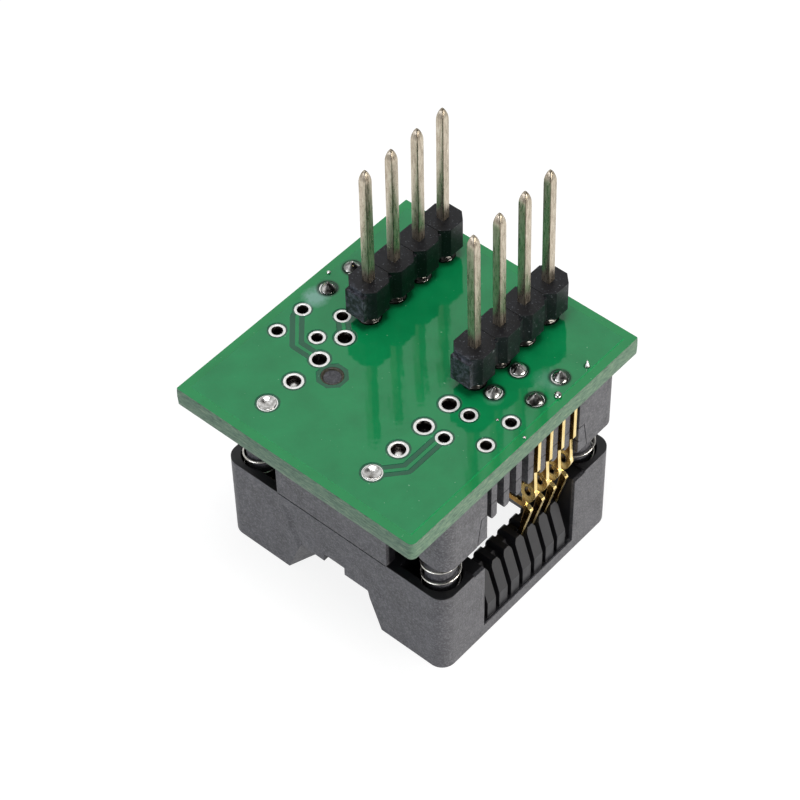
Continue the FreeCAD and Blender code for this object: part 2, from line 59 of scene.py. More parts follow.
camera.data.clip_start = 0.01
camera.data.clip_end = 10
bpy.context.scene.camera = camera
bpy.context.scene.view_settings.view_transform = "Standard"


# Studio: a white table in a white surround with low side lights, so that upright faces are
# bright and the faces under the board stay dark. The camera sees white all round.
def srgb(text):
    """linear colour of a six-digit sRGB hex value"""
    parts = [int(text[i:i + 2], 16) / 255 for i in (1, 3, 5)]
    return tuple(p / 12.92 if p <= 0.04045 else ((p + 0.055) / 1.055) ** 2.4 for p in parts) + (1.0,)


def add(tree, kind, inputs=None, output=0, stops=(), **settings):
    """one output of a new node of that kind. Its inputs are set or linked, a hex value being a
    colour, and stops are a ramp's (place, colour), a colour being a hex value or a grey level"""
    node = tree.nodes.new("ShaderNode" + kind)
    for name, value in settings.items():
        setattr(node, name, value)
    for name, value in (inputs or {}).items():
        if isinstance(value, bpy.types.NodeSocket):
            tree.links.new(value, node.inputs[name])
        else:
            node.inputs[name].default_value = srgb(value) if isinstance(value, str) else value
    for spare in stops[2:]:
        node.color_ramp.elements.new(0.5)
    for i, (place, colour) in enumerate(stops):
        element = node.color_ramp.elements[i]
        element.position = place
        element.color = srgb(colour) if isinstance(colour, str) else (colour, colour, colour, 1.0)
    return node.outputs[output] if node.outputs else None


def new_material(name):
    """an empty node material and its tree"""
    material = bpy.data.materials.new(name)
    material.use_nodes = True
    material.node_tree.nodes.clear()
    return material, material.node_tree


world = bpy.data.worlds.new("studio")
bpy.context.scene.world = world
world.use_nodes = True
world.node_tree.nodes.clear()
sky = world.node_tree
toward = add(sky, "TexCoord", output="Generated")
height = add(sky, "SeparateXYZ", {0: toward}, "Z")
daylight = add(sky, "MapRange", {"Value": height, "From Max": 0.6, "To Min": 0.50, "To Max": 0.24})
surround = add(sky, "Background", {"Color": "#f4f6fa", "Strength": daylight})

# Polished faces see white overhead, less of it near the horizon, and a darker room high on the right.
DARK_SIDE = (0.75, -0.05, 0.66)
facing = add(sky, "VectorMath", {0: toward, 1: DARK_SIDE}, "Value", operation="DOT_PRODUCT")
room = {"Value": facing, "From Min": 0.25, "From Max": 0.65, "To Min": 1.0, "To Max": 0.15}
room = add(sky, "MapRange", room)
horizon = add(sky, "MapRange", {"Value": height, "From Max": 0.3, "To Min": 0.35})
level = add(sky, "Math", {0: room, 1: horizon}, operation="MULTIPLY")
mirrored = add(sky, "Background", {"Color": "#ffffff", "Strength": level})
shown = add(sky, "Background", {"Color": "#ffffff", "Strength": 1.0})
glossy_ray = add(sky, "LightPath", output="Is Glossy Ray")
through_ray = add(sky, "LightPath", output="Is Transmission Ray")
camera_ray = add(sky, "LightPath", output="Is Camera Ray")
sharp = add(sky, "Math", {0: glossy_ray, 1: through_ray}, operation="MAXIMUM")
around = add(sky, "MixShader", {0: sharp, 1: surround, 2: mirrored})
seen = add(sky, "MixShader", {0: camera_ray, 1: around, 2: shown})
add(sky, "OutputWorld", {"Surface": seen})


def soft_light(name, place, size, power, colour, aim):
    """area light at place, facing aim, with a width and a height"""
    lamp = bpy.data.lights.new(name, "AREA")
    lamp.shape = "RECTANGLE"
    lamp.size, lamp.size_y = size
    lamp.energy = power
    lamp.color = srgb(colour)[:3]
    light = bpy.data.objects.new(name, lamp)
    bpy.context.scene.collection.objects.link(light)
    light.location = place
    light.rotation_euler = (Vector(aim) - Vector(place)).to_track_quat("-Z", "Y").to_euler()


soft_light("key", (0.26, 0.03, 0.035), (0.20, 0.06), 0.74, "#fffaf2", (0, 0, 0.010))
soft_light("fill", (-0.06, -0.28, 0.035), (0.20, 0.06), 0.29, "#f2f5ff", (0, 0, 0.010))
soft_light("top", (0.02, -0.02, 0.30), (0.12, 0.12), 0.46, "#ffffff", (0, 0, 0.015))

# White table: matt to the light that falls on it. To the camera and in reflections it glows
# white under a thin layer that still takes the shadow, and in reflections it dims far out.
TABLE_GLOW, FAR_GLOW = 0.87, 0.38
GLOW_NEAR, GLOW_FAR = 0.07, 0.22
floor_mesh = bpy.data.meshes.new("floor")
floor_mesh.from_pydata([(-1, -1, 0), (1, -1, 0), (1, 1, 0), (-1, 1, 0)], [], [(0, 1, 2, 3)])
floor = bpy.data.objects.new("floor", floor_mesh)
bpy.context.scene.collection.objects.link(floor)
floor.location.z = -0.00002
table, tree = new_material("white_table")
matt = add(tree, "BsdfPrincipled", {"Base Color": "#f0f0ee", "Roughness": 0.7})
thin = add(tree, "BsdfDiffuse", {"Color": "#848484"})
far = add(tree, "VectorMath", {0: add(tree, "TexCoord", output="Object")}, "Value", operation="LENGTH")
dim = {"Value": far, "From Min": GLOW_NEAR, "From Max": GLOW_FAR, "To Min": TABLE_GLOW, "To Max": FAR_GLOW}
dim = add(tree, "MapRange", dim)
glossy_ray = add(tree, "LightPath", output="Is Glossy Ray")
through_ray = add(tree, "LightPath", output="Is Transmission Ray")
camera_ray = add(tree, "LightPath", output="Is Camera Ray")
level = add(tree, "Math", {0: dim, 1: camera_ray}, operation="MAXIMUM")
level = add(tree, "Math", {0: level, 1: TABLE_GLOW}, operation="MINIMUM")
glow = add(tree, "Emission", {"Color": "#ffffff", "Strength": level})
lit = add(tree, "AddShader", {0: thin, 1: glow})
sharp = add(tree, "Math", {0: glossy_ray, 1: through_ray}, operation="MAXIMUM")
sharp = add(tree, "Math", {0: sharp, 1: camera_ray}, operation="MAXIMUM")
add(tree, "OutputMaterial", {"Surface": add(tree, "MixShader", {0: sharp, 1: matt, 2: lit})})
floor_mesh.materials.append(table)


# Black mouldings: cover, base, comb insert and nest, injection moulded in glass-filled plastic.
# Its fine matt grain is rubbed grey by handling. The cover's rim, its ribs and its faces well
# inside the outer walls, which the board shades, take painted shade: near black. Sizes are in
# millimetres, and a noise's Scale is one over the size of its largest lumps.
MM = 0.001
SX, SY = -0.085, 0.945
COVER_X, COVER_Y, COVER_R = 9.97, 9.11, 1.10
RIM_Z = 7.70
RUBBED_PATCH, GRAIN, SHINE_PATCH = 1.7, 0.15, 0.7

# Each pair is where the cover's painted shade starts and where it is full.
WALL = (COVER_R - 0.24, COVER_R - 0.32)
ARCH_SIDE, ARCH_TOP = (4.9, 5.1), (3.35, 3.45)
RIBS_END, RIBS_FACE, RIBS_BACK = (4.7, 4.5), (9.88, 9.84), (9.0, 9.2)
RIM_HALF = (0.06, 0.02)


def in_millimetres(tree, squeeze=1.0):
    """object coordinates in millimetres, z times squeeze, which draws a pattern out along z"""
    metres = add(tree, "TexCoord", output="Object")
    return add(tree, "VectorMath", {0: metres, 1: (1000, 1000, 1000 * squeeze)}, operation="MULTIPLY")


def finish_with(tree, colour, rough, height, bump, edge=0.0, **inputs):
    """principled surface over a bump of 0.02 mm times bump, with edges eased by edge millimetres"""
    relief = {"Strength": bump, "Distance": 0.02 * MM, "Height": height}
    if edge:
        relief["Normal"] = add(tree, "Bevel", {"Radius": edge * MM}, samples=6)
    values = {"Base Color": colour, "Roughness": rough, "Normal": add(tree, "Bump", relief)}
    values.update({name.replace("_", " "): value for name, value in inputs.items()})
    add(tree, "OutputMaterial", {"Surface": add(tree, "BsdfPrincipled", values)})


def dress(names, material):
    """those solids keep their shape and take the material"""
    for name in names:
        nodes[name].data.materials.clear()
        nodes[name].data.materials.append(material)


def painted_shade_of_cover(tree, spot):
    """painted shade: 1 on the cover's rim and ribs and wherever it lies well inside its outer walls,
    except in the arches: inside a rounded box, the length of (max(|x| - hx + r, 0),
    max(|y| - hy + r, 0)) is less than r"""
    at = add(tree, "VectorMath", {0: spot, 1: (SX, SY, 0)}, operation="SUBTRACT")
    at = add(tree, "VectorMath", {0: at}, operation="ABSOLUTE")
    x = add(tree, "SeparateXYZ", {0: at}, "X")
    y = add(tree, "SeparateXYZ", {0: at}, "Y")
    z = add(tree, "SeparateXYZ", {0: at}, "Z")
    middle = (COVER_X - COVER_R, COVER_Y - COVER_R, 100)
    corner = add(tree, "VectorMath", {0: at, 1: middle}, operation="SUBTRACT")
    corner = add(tree, "VectorMath", {0: corner, 1: (0, 0, 0)}, operation="MAXIMUM")
    reach = add(tree, "VectorMath", {0: corner}, "Value", operation="LENGTH")
    inside = add(tree, "MapRange", {"Value": reach, "From Min": WALL[0], "From Max": WALL[1]})
    beside = add(tree, "MapRange", {"Value": x, "From Min": ARCH_SIDE[0], "From Max": ARCH_SIDE[1]})
    above = add(tree, "MapRange", {"Value": z, "From Min": ARCH_TOP[0], "From Max": ARCH_TOP[1]})
    past_arch = add(tree, "Math", {0: beside, 1: above}, operation="MAXIMUM")
    inside = add(tree, "Math", {0: inside, 1: past_arch}, operation="MULTIPLY")
    along = add(tree, "MapRange", {"Value": y, "From Min": RIBS_END[0], "From Max": RIBS_END[1]})
    face = add(tree, "MapRange", {"Value": x, "From Min": RIBS_FACE[0], "From Max": RIBS_FACE[1]})
    back = add(tree, "MapRange", {"Value": x, "From Min": RIBS_BACK[0], "From Max": RIBS_BACK[1]})
    ribs = add(tree, "Math", {0: along, 1: face}, operation="MULTIPLY")
    ribs = add(tree, "Math", {0: ribs, 1: back}, operation="MULTIPLY")
    rim = add(tree, "Math", {0: z, 1: RIM_Z}, operation="SUBTRACT")
    rim = add(tree, "Math", {0: rim}, operation="ABSOLUTE")
    rim = add(tree, "MapRange", {"Value": rim, "From Min": RIM_HALF[0], "From Max": RIM_HALF[1]})
    deep = add(tree, "Math", {0: rim, 1: ribs}, operation="MAXIMUM")
    return add(tree, "Math", {0: deep, 1: inside}, operation="MAXIMUM")


def moulded(name, with_painted_shade=False):
    """rubbed grey grain, and when the flag is set, smoother near-black painted shade on the
    cover's parts that the board shades
    """
    material, tree = new_material(name)
    spot = in_millimetres(tree)
    rubbed = {"Vector": spot, "Scale": 1 / RUBBED_PATCH, "Detail": 7, "Roughness": 0.7}
    rubbed = add(tree, "TexNoise", rubbed)
    grains = add(tree, "TexNoise", {"Vector": spot, "Scale": 1 / GRAIN, "Detail": 3, "Roughness": 0.7})
    shine = add(tree, "TexNoise", {"Vector": spot, "Scale": 1 / SHINE_PATCH, "Detail": 4, "Roughness": 0.6})
    colour = add(tree, "ValToRGB", {"Fac": rubbed}, stops=((0.35, "#313135"), (0.65, "#424247")))
    bright = add(tree, "ValToRGB", {"Fac": grains}, stops=((0.45, 0.0), (0.72, 0.6)))
    colour = add(tree, "Mix", {0: bright, 6: colour, 7: "#75757a"}, 2, data_type="RGBA")
    gloss = add(tree, "ValToRGB", {"Fac": shine}, stops=((0.3, 0.42), (0.7, 0.56)))
    if with_painted_shade:
        # Painted shade where the board shades the cover: near black, a little smoother, with a flatter
        # grain.
        deep = painted_shade_of_cover(tree, spot)
        black = add(tree, "ValToRGB", {"Fac": rubbed}, stops=((0.3, "#0a0a0f"), (0.7, "#16161b")))
        colour = add(tree, "Mix", {0: deep, 6: colour, 7: black}, 2, data_type="RGBA")
        smoother = add(tree, "Math", {0: deep, 1: 0.04}, operation="MULTIPLY")
        gloss = add(tree, "Math", {0: gloss, 1: smoother}, operation="SUBTRACT")
        flatter = add(tree, "Math", {0: deep, 1: 0.8}, operation="MULTIPLY")
        flatter = add(tree, "Math", {0: 1.0, 1: flatter}, operation="SUBTRACT")
        grains = add(tree, "Math", {0: grains, 1: flatter}, operation="MULTIPLY")
    finish_with(tree, colour, gloss, grains, 0.5, 0.07, Specular_IOR_Level=0.42)
    return material


dress(["cover"], moulded("black_plastic_of_cover_painted_shade", with_painted_shade=True))
dress(["base_housing", "comb_insert", "nest"], moulded("black_glass_filled_plastic"))


# Header strips: two rows of four units, moulded in black plastic that is truer black and glossier
# than the socket's, and broken off a longer stick, which leaves a scuffed grey neck at the front.
# White dust lies on them, in specks drawn as coarse as the render can show.
TONE, DUST, SCUFF, SHEEN, SKIN = 1.25, 0.13, 0.38, 0.45, 0.22
NECK_FRONT, NECK_BACK = 0.12, 0.62
strip_plastic, tree = new_material("black_header_plastic")
spot = in_millimetres(tree)
tone = add(tree, "TexNoise", {"Vector": spot, "Scale": 1 / TONE, "Detail": 4, "Roughness": 0.6})
black = add(tree, "ValToRGB", {"Fac": tone}, stops=((0.3, "#05060a"), (0.7, "#0c0e15")))
dust = add(tree, "TexNoise", {"Vector": spot, "Scale": 1 / DUST, "Detail": 5, "Roughness": 0.75})
dust = add(tree, "ValToRGB", {"Fac": dust}, stops=((0.61, 0.0), (0.68, 0.6)))
colour = add(tree, "Mix", {0: dust, 6: black, 7: "#9aa0a8"}, 2, data_type="RGBA")
y = add(tree, "SeparateXYZ", {0: spot}, "Y")
neck = add(tree, "MapRange", {"Value": y, "From Min": NECK_BACK, "From Max": NECK_FRONT})
scuffs = add(tree, "TexNoise", {"Vector": spot, "Scale": 1 / SCUFF, "Detail": 6, "Roughness": 0.75})
scuffs = add(tree, "ValToRGB", {"Fac": scuffs}, stops=((0.45, 0.0), (0.70, 0.8)))
scuffs = add(tree, "Math", {0: neck, 1: scuffs}, operation="MULTIPLY")
colour = add(tree, "Mix", {0: scuffs, 6: colour, 7: "#6b6f7c"}, 2, data_type="RGBA")
gloss = add(tree, "TexNoise", {"Vector": spot, "Scale": 1 / SHEEN, "Detail": 4, "Roughness": 0.6})
gloss = add(tree, "ValToRGB", {"Fac": gloss}, stops=((0.3, 0.34), (0.7, 0.52)))
skin = add(tree, "TexNoise", {"Vector": spot, "Scale": 1 / SKIN, "Detail": 5, "Roughness": 0.7})
finish_with(tree, colour, gloss, skin, 0.5, 0.08, Specular_IOR_Level=0.3)
dress(["header_strip_left", "header_strip_right"], strip_plastic)


# Header pins: square rolled wire, tinned, with a coined point, pressed through the strips and
# soldered in the board. The right row leans a little inwards above its strip.
ROW_X = (-4.745, 4.395)
PIN_Y = (1.485, 4.025, 6.565, 9.105)
STRIP_TOP, POINT_Z = 21.28, 30.50
ROW_LEAN = (0.0, -0.014)
PIN_SECTIONS = ((15.95, 0.30), (16.20, 0.64), (STRIP_TOP, 0.64), (24.50, 0.64), (27.50, 0.64),
                (30.15, 0.64), (30.40, 0.62), (30.62, 0.56), (30.82, 0.46), (31.00, 0.34),
                (31.12, 0.22), (31.19, 0.10))
CORNER_R, CORNER_POINTS = 0.06, 5


def link(mesh, name, body, materials, *replaced):
    """a piece that rides with that body and stands for those solids"""
    piece = bpy.data.objects.new(name, mesh)
    bpy.context.scene.collection.objects.link(piece)
    for material in materials:
        mesh.materials.append(material)
    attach(piece, body)
    if replaced:
        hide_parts(*replaced)
    return piece


def make_mesh(name, points, faces, finishes=None, smooth=None):
    """mesh from points in millimetres and arrays of faces; faces of more than four corners
    stay flat where smooth doesn't say"""
    rows = [row for array in faces for row in array.tolist()]
    mesh = bpy.data.meshes.new(name)
    mesh.from_pydata((points * MM).tolist(), [], rows)
    if smooth is None:
        smooth = [len(row) <= 4 for row in rows]
    mesh.polygons.foreach_set("use_smooth", smooth)
    if finishes is not None:
        mesh.polygons.foreach_set("material_index", finishes)
    mesh.update()
    return mesh


def tube(rings):
    """closed surface through rings of points (rows, columns, 3): quads from each ring to the
    next, and a flat cap at both ends"""
    rows, cols, _ = rings.shape
    here = np.arange((rows - 1) * cols).reshape(rows - 1, cols)
    beside = np.roll(here, -1, axis=1)
    quads = np.stack([here, beside, beside + cols, here + cols], axis=-1).reshape(-1, 4)
    caps = np.stack([np.arange(cols)[::-1], np.arange(cols) + (rows - 1) * cols])
    return rings.reshape(-1, 3), [quads, caps]


def eased_square(side, radius):
    """square outline with rounded corners: centre (s/2 - r) (+-1, +-1) plus r (cos a, sin a)"""
    signs = np.array([(1, 1), (-1, 1), (-1, -1), (1, -1)])
    a = np.pi / 2 * (np.arange(4)[:, None] + np.linspace(0, 1, CORNER_POINTS))
    ring = (side / 2 - radius) * signs[:, None] + radius * np.stack([np.cos(a), np.sin(a)], axis=-1)
    return ring.reshape(-1, 2)


# Tinned wire: warm grey metal with fine streaks along it from drawing, small dull specks, and a
# painted dark reflection along two corners, the front right and the back left, stronger on the
# coined point. "corner" holds how dark that painted reflection is.
STREAK, SPECK = 0.14, 0.125
tin, tree = new_material("tinned_wire")
drawn_out = in_millimetres(tree, 0.15)
streaks = add(tree, "TexNoise", {"Vector": drawn_out, "Scale": 1 / STREAK, "Detail": 5, "Roughness": 0.7})
spot = in_millimetres(tree)
specks = add(tree, "TexNoise", {"Vector": spot, "Scale": 1 / SPECK, "Detail": 4, "Roughness": 0.8})
warm = ((0.30, "#958978"), (0.50, "#bcb09d"), (0.70, "#dad1c0"))
colour = add(tree, "ValToRGB", {"Fac": streaks}, stops=warm)
dull = add(tree, "ValToRGB", {"Fac": specks}, stops=((0.58, 0.0), (0.70, 0.6)))
colour = add(tree, "Mix", {0: dull, 6: colour, 7: "#6b604e"}, 2, data_type="RGBA")
# Painted dark reflection on the two corners, varied in patches by the specks.
corner = add(tree, "Attribute", output="Fac", attribute_name="corner")
reflection_patches = add(tree, "ValToRGB", {"Fac": specks}, stops=((0.3, 0.9), (0.7, 0.5)))
corner = add(tree, "Math", {0: corner, 1: reflection_patches}, operation="MULTIPLY")
colour = add(tree, "Mix", {0: corner, 6: colour, 7: "#2e2820"}, 2, data_type="RGBA")
gloss = add(tree, "ValToRGB", {"Fac": streaks}, stops=((0.3, 0.23), (0.7, 0.35)))
finish_with(tree, colour, gloss, specks, 0.3, Metallic=0.95)

# How dark the painted reflection is at each ring's points: up to 1 on the second and fourth corners, 0 on
# the others along the shaft and 0.3 on the point.
shaft_reflection_shade = ([0.0] * CORNER_POINTS + [0.0, 0.7, 1.0, 0.7, 0.0]) * 2
point_reflection_shade = ([0.3] * CORNER_POINTS + [0.8, 1.0, 1.0, 1.0, 0.8]) * 2
dark = [value for z, side in PIN_SECTIONS for value in (point_reflection_shade if z > POINT_Z else shaft_reflection_shade)]
for label, x, lean in zip(("left", "right"), ROW_X, ROW_LEAN):
    rings = []
    for z, side in PIN_SECTIONS:
        ring = eased_square(side, min(CORNER_R, side * 0.25))
        shift = lean * max(z - STRIP_TOP, 0)
        rings.append(np.column_stack([ring + [shift, 0], np.full(len(ring), z)]))
    points, faces = tube(np.stack(rings))
    for i, y in enumerate(PIN_Y):
        mesh = make_mesh("pin_%s_%d" % (label, i + 1), points + [x, y, 0], faces)
        mesh.attributes.new("corner", "FLOAT", "POINT").data.foreach_set("value", dark)
        pin = link(mesh, "pin_%s_%d" % (label, i + 1), "base", [tin], "header_pin_%s_%d" % (label, i + 1))


# Contacts: blades stamped from thin metal strip and gold plated, a stem held in the comb and an
# arm that turns about its ring. The gold's colour carries painted light: painted highlights make
# it bright on the cut edges and on the rings' flats, and painted shade makes it brown on the other
# flats and dark in the ring's eye.
RING_Z, RING_HALF, RING_FADE = 9.95, 0.7, 0.4
EYE_X, EYE_Z = 9.26, 10.05
EYE_WIDE, EYE_HIGH = 0.23, 0.40
EYE_FADE = (1.35, 1.05)
WEAR = 0.33
gold, tree = new_material("gold_plate_painted_light")
spot = in_millimetres(tree)
wear = {"Vector": in_millimetres(tree, 0.3), "Scale": 1 / WEAR, "Detail": 5, "Roughness": 0.65}
wear = add(tree, "TexNoise", wear)
# Ramps of painted light: bright is the cut edges' painted highlight, brown the flats' painted shade, and
# the third the rings' painted highlight.
bright = ((0.32, "#e9c673"), (0.55, "#f8e09c"), (0.75, "#fff0c4"))
brown = ((0.32, "#7c5818"), (0.55, "#a97f30"), (0.75, "#d2a852"))
ring_highlight = ((0.32, "#d2a54a"), (0.55, "#eccb7a"), (0.75, "#f6dd9c"))
edges = add(tree, "ValToRGB", {"Fac": wear}, stops=bright)
shaded_flats = add(tree, "ValToRGB", {"Fac": wear}, stops=brown)
rings = add(tree, "ValToRGB", {"Fac": wear}, stops=ring_highlight)
off = add(tree, "Math", {0: add(tree, "SeparateXYZ", {0: spot}, "Z"), 1: RING_Z}, operation="SUBTRACT")
off = add(tree, "Math", {0: off}, operation="ABSOLUTE")
ring = add(tree, "MapRange", {"Value": off, "From Min": RING_HALF + RING_FADE, "From Max": RING_HALF})
shaded_flats = add(tree, "Mix", {0: ring, 6: shaded_flats, 7: rings}, 2, data_type="RGBA")
# Faces across y take the painted shade, the cut edges the painted highlight.
facing = add(tree, "SeparateXYZ", {0: add(tree, "NewGeometry", output="True Normal")}, "Y")
facing = add(tree, "Math", {0: facing}, operation="ABSOLUTE")
flat = add(tree, "MapRange", {"Value": facing, "From Min": 0.5, "From Max": 0.8})
colour = add(tree, "Mix", {0: flat, 6: edges, 7: shaded_flats}, 2, data_type="RGBA")
# Painted shade in each ring's eye: an ellipse about (EYE_X, EYE_Z), mirrored in x.
at = add(tree, "VectorMath", {0: spot, 1: (SX, 0, 0)}, operation="SUBTRACT")
at = add(tree, "VectorMath", {0: at}, operation="ABSOLUTE")
at = add(tree, "VectorMath", {0: at, 1: (EYE_X, 0, EYE_Z)}, operation="SUBTRACT")
at = add(tree, "VectorMath", {0: at, 1: (1 / EYE_WIDE, 0, 1 / EYE_HIGH)}, operation="MULTIPLY")
eye_shade = add(tree, "VectorMath", {0: at}, "Value", operation="LENGTH")
eye_shade = add(tree, "MapRange", {"Value": eye_shade, "From Min": EYE_FADE[0], "From Max": EYE_FADE[1]})
colour = add(tree, "Mix", {0: eye_shade, 6: colour, 7: "#2e1f08"}, 2, data_type="RGBA")
gloss = add(tree, "ValToRGB", {"Fac": wear}, stops=((0.3, 0.20), (0.7, 0.32)))
finish_with(tree, colour, gloss, wear, 0.25, 0.04, Metallic=1.0)
dress([name for name in nodes if name.startswith(("contact_stem", "contact_arm"))], gold)


# Circuit board: woven glass laminate with copper and green mask on both faces, drilled, plated
# and sawn out. Pads, traces and the bare gaps round them are cut into the face by a triangulation
# over circles and lines, and each triangle takes its finish from where it lies.
BOARD_Z, TOP_Z = 16.05, 17.65
HALF_X, HALF_Y = 10.285, 11.615
EDGE_IN, EDGE_STEP = 0.05, 0.22
EDGE_ROWS = ((0.22, 0.035), (0.50, 0.05), (0.78, 0.03))
EDGE_ROUGH = 0.022
EDGE_BAND, EDGE_CORE = 0.6, 0.5
CORNER_ROUND, WORN_CORNER_ROUND, CORNER_STEPS = 0.08, 0.42, 7
PAD_SIDES, LOCATOR_SIDES, BEND_SIDES = 36, 40, 20
COPPER_IN = 0.72
MASK_DROP, MASK_SLOPE = 0.03, 0.04
TRACE_W, TRACE_GAP = 0.24, 0.38
OPEN_Y = (-1.055, -3.595)
FILLED_Y = (-6.135, -8.675)
PIN_PAD = (0.51, 0.70, 0.86)
TAIL_PAD = (0.40, 0.585, 0.72)
LEAD_PITCH = 1.27
TAIL_IN, TAIL_OUT = 6.10, 8.57
LOCATORS = ((SX + 3.01, SY + 5.10), (SX - 3.01, SY - 5.10))
LOCATOR_R, LOCATOR_GAP = 0.80, 1.08
TRACES = (((-8.705, -1.025), (-8.475, -1.705), (-6.775, -3.605), (-5.375, -3.605), (-4.745, -3.595)),
          ((5.995, -3.525), (5.875, -4.205), (5.875, -7.005), (4.395, -8.675)),
          ((-6.155, 0.295), (-4.745, -1.055)))

segments = [(np.array(a), np.array(b)) for line in TRACES for a, b in zip(line[:-1], line[1:])]
tails = [(SX + side * (TAIL_OUT if (i % 2 == 1) == (side > 0) else TAIL_IN), SY + (i - 3.5) * LEAD_PITCH)
         for side in (-1, 1) for i in range(8)]
fitted_tails = tails[4:8] + tails[12:]
pads = np.array([(x, y, *PIN_PAD) for x in ROW_X for y in PIN_Y + OPEN_Y + FILLED_Y]
                + [(x, y, *TAIL_PAD) for x, y in tails])


def octagon(points, centre, apothem):
    """distance outside a regular octagon: the largest of its sides' offsets, less the apothem"""
    a = np.arange(8) * np.pi / 4
    return ((points - centre) @ np.array([np.cos(a), np.sin(a)])).max(1) - apothem


def layout(points):
    """distances outside the nearest hole, ring, trace, bare gap and the copper, negative inside"""
    off = np.linalg.norm(points[:, None] - pads[None, :, :2], axis=2)
    hole = (off - pads[:, 2]).min(1)
    gap = (off - pads[:, 4]).min(1)
    for centre in LOCATORS:
        hole = np.minimum(hole, np.linalg.norm(points - centre, axis=1) - LOCATOR_R)
        gap = np.minimum(gap, octagon(points, centre, LOCATOR_GAP))
    trace = np.full(len(points), np.inf)
    for a, b in segments:
        t = np.clip((points - a) @ (b - a) / ((b - a) @ (b - a)), 0, 1)
        trace = np.minimum(trace, np.linalg.norm(points - a - t[:, None] * (b - a), axis=1))
    gap = np.minimum(gap, trace - TRACE_W / 2 - TRACE_GAP)
    copper = (np.abs(points) - [HALF_X - COPPER_IN, HALF_Y - COPPER_IN]).max(1)
    return hole, (off - pads[:, 3]).min(1), trace - TRACE_W / 2, gap, copper


def relief(points):
    """height of the face: 0 on copper, sunk in the bare gaps, rings rounded by (2 t - 1)^2"""
    hole, ring, trace, gap, copper = layout(points)
    deep = np.clip(np.maximum(np.minimum(-gap, trace), copper) / MASK_SLOPE, 0, 1)
    off = np.linalg.norm(points[:, None] - pads[None, :, :2], axis=2)
    nearest = off.argmin(1)
    inner, outer = pads[nearest, 2], pads[nearest, 3]
    t = np.clip((off.min(1) - inner) / (outer - inner), 0, 1)
    return -MASK_DROP * np.where(ring < 1e-4, (2 * t - 1) ** 2, deep)


def board_curves():
    """points and edges of the outline, pad circles, trace sides and locator octagons"""
    drawn, edges = [], []

    def draw(points, closed=True):
        """a line through the points, and back to the first where it is closed"""
        here = sum(len(line) for line in drawn) + np.arange(len(points))
        drawn.append(points)
        joined = np.stack([here, np.roll(here, -1)], axis=1)
        edges.append(joined if closed else joined[:-1])

    def circle(x, y, r, sides, turn=0.0):
        """a ring of points (x + r cos a, y + r sin a)"""
        a = np.arange(sides) * 2 * np.pi / sides + turn
        draw(np.stack([x + r * np.cos(a), y + r * np.sin(a)], axis=1))

    corners = []
    rounds = (CORNER_ROUND, CORNER_ROUND, CORNER_ROUND, WORN_CORNER_ROUND)
    for k, (sx, sy, r) in enumerate(zip((1, -1, -1, 1), (1, 1, -1, -1), rounds)):
        a = (k + np.linspace(0, 1, CORNER_STEPS)) * np.pi / 2
        centre = np.array([sx * (HALF_X - EDGE_IN - r), sy * (HALF_Y - EDGE_IN - r)])
        corners.append(centre + r * np.stack([np.cos(a), np.sin(a)], axis=1))
    corners = np.concatenate(corners)
    outline = []
    for a, b in zip(corners, np.roll(corners, -1, axis=0)):
        steps = max(1, int(np.linalg.norm(b - a) / EDGE_STEP))
        outline.append(a + (b - a) * np.arange(steps)[:, None] / steps)
    draw(np.concatenate(outline))
    for inset in (COPPER_IN, COPPER_IN - MASK_SLOPE):
        x, y = HALF_X - inset, HALF_Y - inset
        draw(np.array([(x, y), (-x, y), (-x, -y), (x, -y)]))
    for x, y, hole, pad, gap in pads:
        for r in (hole, (hole + pad) / 2, pad, gap - MASK_SLOPE, gap):
            circle(x, y, r, PAD_SIDES)
    for x, y in LOCATORS:
        circle(x, y, LOCATOR_R, LOCATOR_SIDES)
        for apothem in (LOCATOR_GAP, LOCATOR_GAP - MASK_SLOPE):
            circle(x, y, apothem / math.cos(math.pi / 8), 8, math.pi / 8)
    offsets = [TRACE_W / 2 + d for d in (0, MASK_SLOPE, TRACE_GAP - MASK_SLOPE, TRACE_GAP)]
    for a, b in segments:
        side = np.array([a[1] - b[1], b[0] - a[0]]) / np.linalg.norm(b - a)
        for d in offsets:
            for s in (-1, 1):
                draw(np.array([a, b]) + s * d * side, closed=False)
    for line in TRACES:
        for x, y in line[1:-1]:
            for d in offsets:
                circle(x, y, d, BEND_SIDES)
    return np.concatenate(drawn).tolist(), np.concatenate(edges).tolist()


# The two faces: triangles inside holes are dropped, and the rest take their finish by place.
curve_points, curve_edges = board_curves()
cut = delaunay_2d_cdt([Vector(p) for p in curve_points], curve_edges, [], 0, 1e-5)
plan = np.array([tuple(p) for p in cut[0]])
triangles = np.array(cut[2])
one, two = plan[triangles[:, 1]] - plan[triangles[:, 0]], plan[triangles[:, 2]] - plan[triangles[:, 0]]
turned = one[:, 0] * two[:, 1] - one[:, 1] * two[:, 0] < 0
triangles[turned] = triangles[turned][:, ::-1]
hole, ring, trace, gap, copper = layout(plan[triangles].mean(axis=1))
MASK, BARE, RING, BARREL, EDGE, MARGIN = range(6)
finish = np.where(copper > 0, MARGIN, MASK)
finish = np.where((trace > 0) & (gap < 0), BARE, finish)
finish = np.where(ring < 0, RING, finish)
triangles, finish = triangles[hole > 0], finish[hole > 0]
count = len(plan)
rise = relief(plan)
levels = [np.column_stack([plan, TOP_Z + rise]), np.column_stack([plan, BOARD_Z - rise])]

